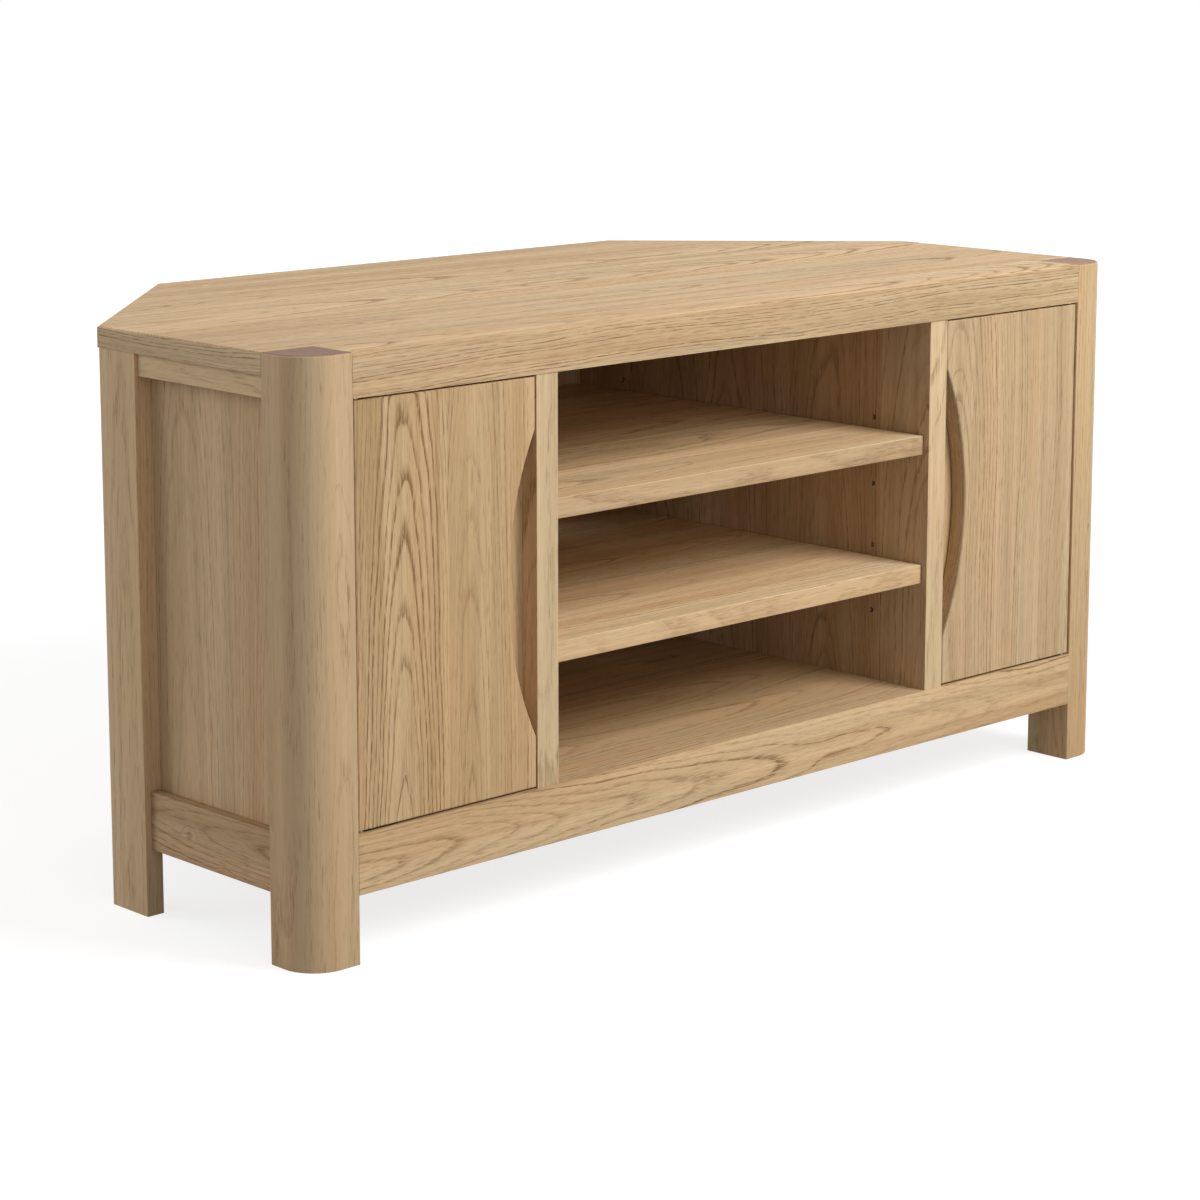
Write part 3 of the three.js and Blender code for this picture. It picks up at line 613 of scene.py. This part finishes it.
# Hinges
# Zinc-plated steel pivot hinges, let into rail and door and screwed there: a plate with a collar
# and pin in the rail, and a leaf in the door that turns on the pin.
hinge_parts = [name for name in nodes if name.endswith("hinge_plate") or name.endswith("hinge_leaf")]
for name in hinge_parts:
    dress(nodes[name], zinc)
ease(hinge_parts)

# Catches
# A small nickel-plated round magnet, pressed into each stop strip, and a nickel-plated steel disc
# that is let into the back of the door and held by a screw.
nickel = metal("nickel_plate", colour=(0.66, 0.62, 0.56), rough=0.24, brushed=(1200.0, 1200.0, 1200.0))
catch_parts = [name for name in nodes if "_catch_" in name]
for name in catch_parts:
    dress(nodes[name], nickel)
ease(catch_parts, width=0.0003)

# Screws
# Zinc-plated wood screws with crossed heads: rows of them round each back panel, two in every hinge
# plate and leaf, and one through each catch plate. Each is driven home by hand, at its own turn.
def screw_head():
    # A low round head of unit width and height, its foot at nought, with a crossed recess.
    arm, half_slot, recess_floor = 0.27, 0.06, 0.15
    rings = ((0.5, 0.0), (0.47, 0.55), (0.36, 1.0))
    quarter = [Vector((arm, half_slot)), Vector((half_slot, half_slot)), Vector((half_slot, arm))]
    cross = [Matrix.Rotation(turn * math.pi / 2, 2) @ corner for turn in range(4) for corner in quarter]
    points = [(*(corner.normalized() * radius), height) for radius, height in rings for corner in cross]
    points += [(*corner, height) for height in (1.0, recess_floor) for corner in cross]
    round_of, rows = len(cross), len(rings) + 2
    faces = [(row * round_of + step, row * round_of + (step + 1) % round_of,
              (row + 1) * round_of + (step + 1) % round_of, (row + 1) * round_of + step)
             for row in range(rows - 1) for step in range(round_of)]
    faces += [tuple(reversed(range(round_of))), tuple(range((rows - 1) * round_of, rows * round_of))]
    shape = bpy.data.meshes.new("screw_head")
    shape.from_pydata(points, [], faces)
    return bpy.data.objects.new("screw_head", shape)


def make_screw_rows(head):
    # Puts a head at each point, on its face, sized by Size times the point's own width and height.
    tree = bpy.data.node_groups.new("screw_rows", "GeometryNodeTree")
    tree.interface.new_socket(name="Seats", in_out="INPUT", socket_type="NodeSocketGeometry")
    size = tree.interface.new_socket(name="Size", in_out="INPUT", socket_type="NodeSocketFloat")
    tree.interface.new_socket(name="Screws", in_out="OUTPUT", socket_type="NodeSocketGeometry")
    given = put(tree, "NodeGroupInput").outputs
    facing = put(tree, "GeometryNodeInputNamedAttribute", {"Name": "facing"}, data_type="FLOAT_VECTOR")
    width = put(tree, "GeometryNodeInputNamedAttribute", {"Name": "width"}, data_type="FLOAT")
    proud = put(tree, "GeometryNodeInputNamedAttribute", {"Name": "proud"}, data_type="FLOAT")
    aim = put(tree, "FunctionNodeAlignRotationToVector", {"Vector": facing.outputs[0]}, axis="Z")
    spin = put(tree, "FunctionNodeRandomValue", {"Max": 2 * math.pi, "Seed": 5}, data_type="FLOAT")
    spun = put(tree, "FunctionNodeAxisAngleToRotation", {"Axis": up, "Angle": spin.outputs[1]})
    turned = put(tree, "FunctionNodeRotateRotation",
                 {"Rotation": aim.outputs[0], "Rotate By": spun.outputs[0]}, rotation_space="LOCAL")
    wide = reckon(tree, "MULTIPLY", width.outputs[0], given["Size"])
    tall = reckon(tree, "MULTIPLY", proud.outputs[0], given["Size"])
    scale = put(tree, "ShaderNodeCombineXYZ", {0: wide, 1: wide, 2: tall})
    shape = put(tree, "GeometryNodeObjectInfo", {"Object": head, "As Instance": True})
    rows = put(tree, "GeometryNodeInstanceOnPoints",
               {"Points": given["Seats"], "Instance": shape.outputs["Geometry"],
                "Rotation": turned.outputs[0], "Scale": scale.outputs[0]})
    real = put(tree, "GeometryNodeRealizeInstances", {"Geometry": rows.outputs[0]})
    plated = put(tree, "GeometryNodeSetMaterial", {"Geometry": real.outputs[0], "Material": zinc})
    put(tree, "NodeGroupOutput", {0: plated.outputs[0]})
    return tree, size.identifier


head = screw_head()
screw_rows, size_socket = make_screw_rows(head)


def drive_screws(body, seats):
    # Each seat is a place, the way its face looks, and the head's width and height.
    mesh = bpy.data.meshes.new("seats")
    mesh.from_pydata([seat[0] for seat in seats], [], [])
    for name, kind, item in (("facing", "FLOAT_VECTOR", 1), ("width", "FLOAT", 2), ("proud", "FLOAT", 3)):
        values = mesh.attributes.new(name, kind, "POINT").data
        for value, seat in zip(values, seats):
            setattr(value, "vector" if kind == "FLOAT_VECTOR" else "value", seat[item])
    seated = bpy.data.objects.new("seats", mesh)
    scene.collection.objects.link(seated)
    rows = seated.modifiers.new("rows", "NODES")
    rows.node_group = screw_rows
    rows[size_socket] = 1.0
    made = bpy.data.meshes.new_from_object(seated.evaluated_get(bpy.context.evaluated_depsgraph_get()))
    bpy.data.objects.remove(seated)
    screws = bpy.data.objects.new(body + "_screws", made)
    scene.collection.objects.link(screws)
    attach(screws, body)


def spaced(start, end, count):
    return [start + (end - start) * step / (count - 1) for step in range(count)]


# Each back panel has a row down each side and one along its top and bottom.
seats = {"carcase": [], "left_door": [], "right_door": []}
panel_screw, panel_proud, edge_inset = 0.007, 0.0007, 0.012
across_panel, down_panel, face_depth = 4, 5, 0.0001
top_row = sum(corner.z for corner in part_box("rear_top_rail")) / 2
for name, out, rail in (("rear_back_panel", (0, 1, 0), "rear_bottom_rail"),
                        ("left_corner_back_panel", (-1, 1, 0), "bottom_panel"),
                        ("right_corner_back_panel", (1, 1, 0), "bottom_panel")):
    out = Vector(out).normalized()
    along = out.cross(up)
    corners = [vertex.co for vertex in nodes[name].data.vertices]
    reach = max(corner.dot(out) for corner in corners)
    spread = [corner.dot(along) for corner in corners if corner.dot(out) > reach - face_depth]
    columns = spaced(min(spread) + edge_inset, max(spread) - edge_inset, across_panel)
    rows = spaced(sum(corner.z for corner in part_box(rail)) / 2, top_row, down_panel)
    for column in columns:
        for height in rows if column in (columns[0], columns[-1]) else (rows[0], rows[-1]):
            seats["carcase"].append((out * reach + along * column + Vector((0, 0, height)), out,
                                     panel_screw, panel_proud))

# Two go into each hinge leaf and two into each plate, and one holds each catch plate.
hinge_screw, hinge_proud, hinge_inset, hinge_pitch = 0.0046, 0.0004, 0.008, 0.013
catch_screw, catch_proud = 0.005, 0.0001
for side, way in (("left", -1), ("right", 1)):
    for level, face in (("lower", 1), ("upper", -1)):
        low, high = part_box(f"{side}_{level}_hinge_leaf")
        inner = min(abs(low.x), abs(high.x)) + hinge_inset
        rail_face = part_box("bottom_panel")[1].z if face > 0 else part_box("front_top_rail")[0].z
        door_face = low.z if face > 0 else high.z
        for aside in (inner, inner + hinge_pitch):
            for body, height, looks in (("carcase", rail_face, face), (side + "_door", door_face, -face)):
                seats[body].append((Vector((way * aside, (low.y + high.y) / 2, height)),
                                    Vector((0, 0, looks)), hinge_screw, hinge_proud))
    low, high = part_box(side + "_catch_plate")
    middle = (low + high) / 2
    seats[side + "_door"].append((Vector((middle.x, high.y, middle.z)), Vector(back),
                                  catch_screw, catch_proud))
for body, places in seats.items():
    drive_screws(body, places)
bpy.data.objects.remove(head)
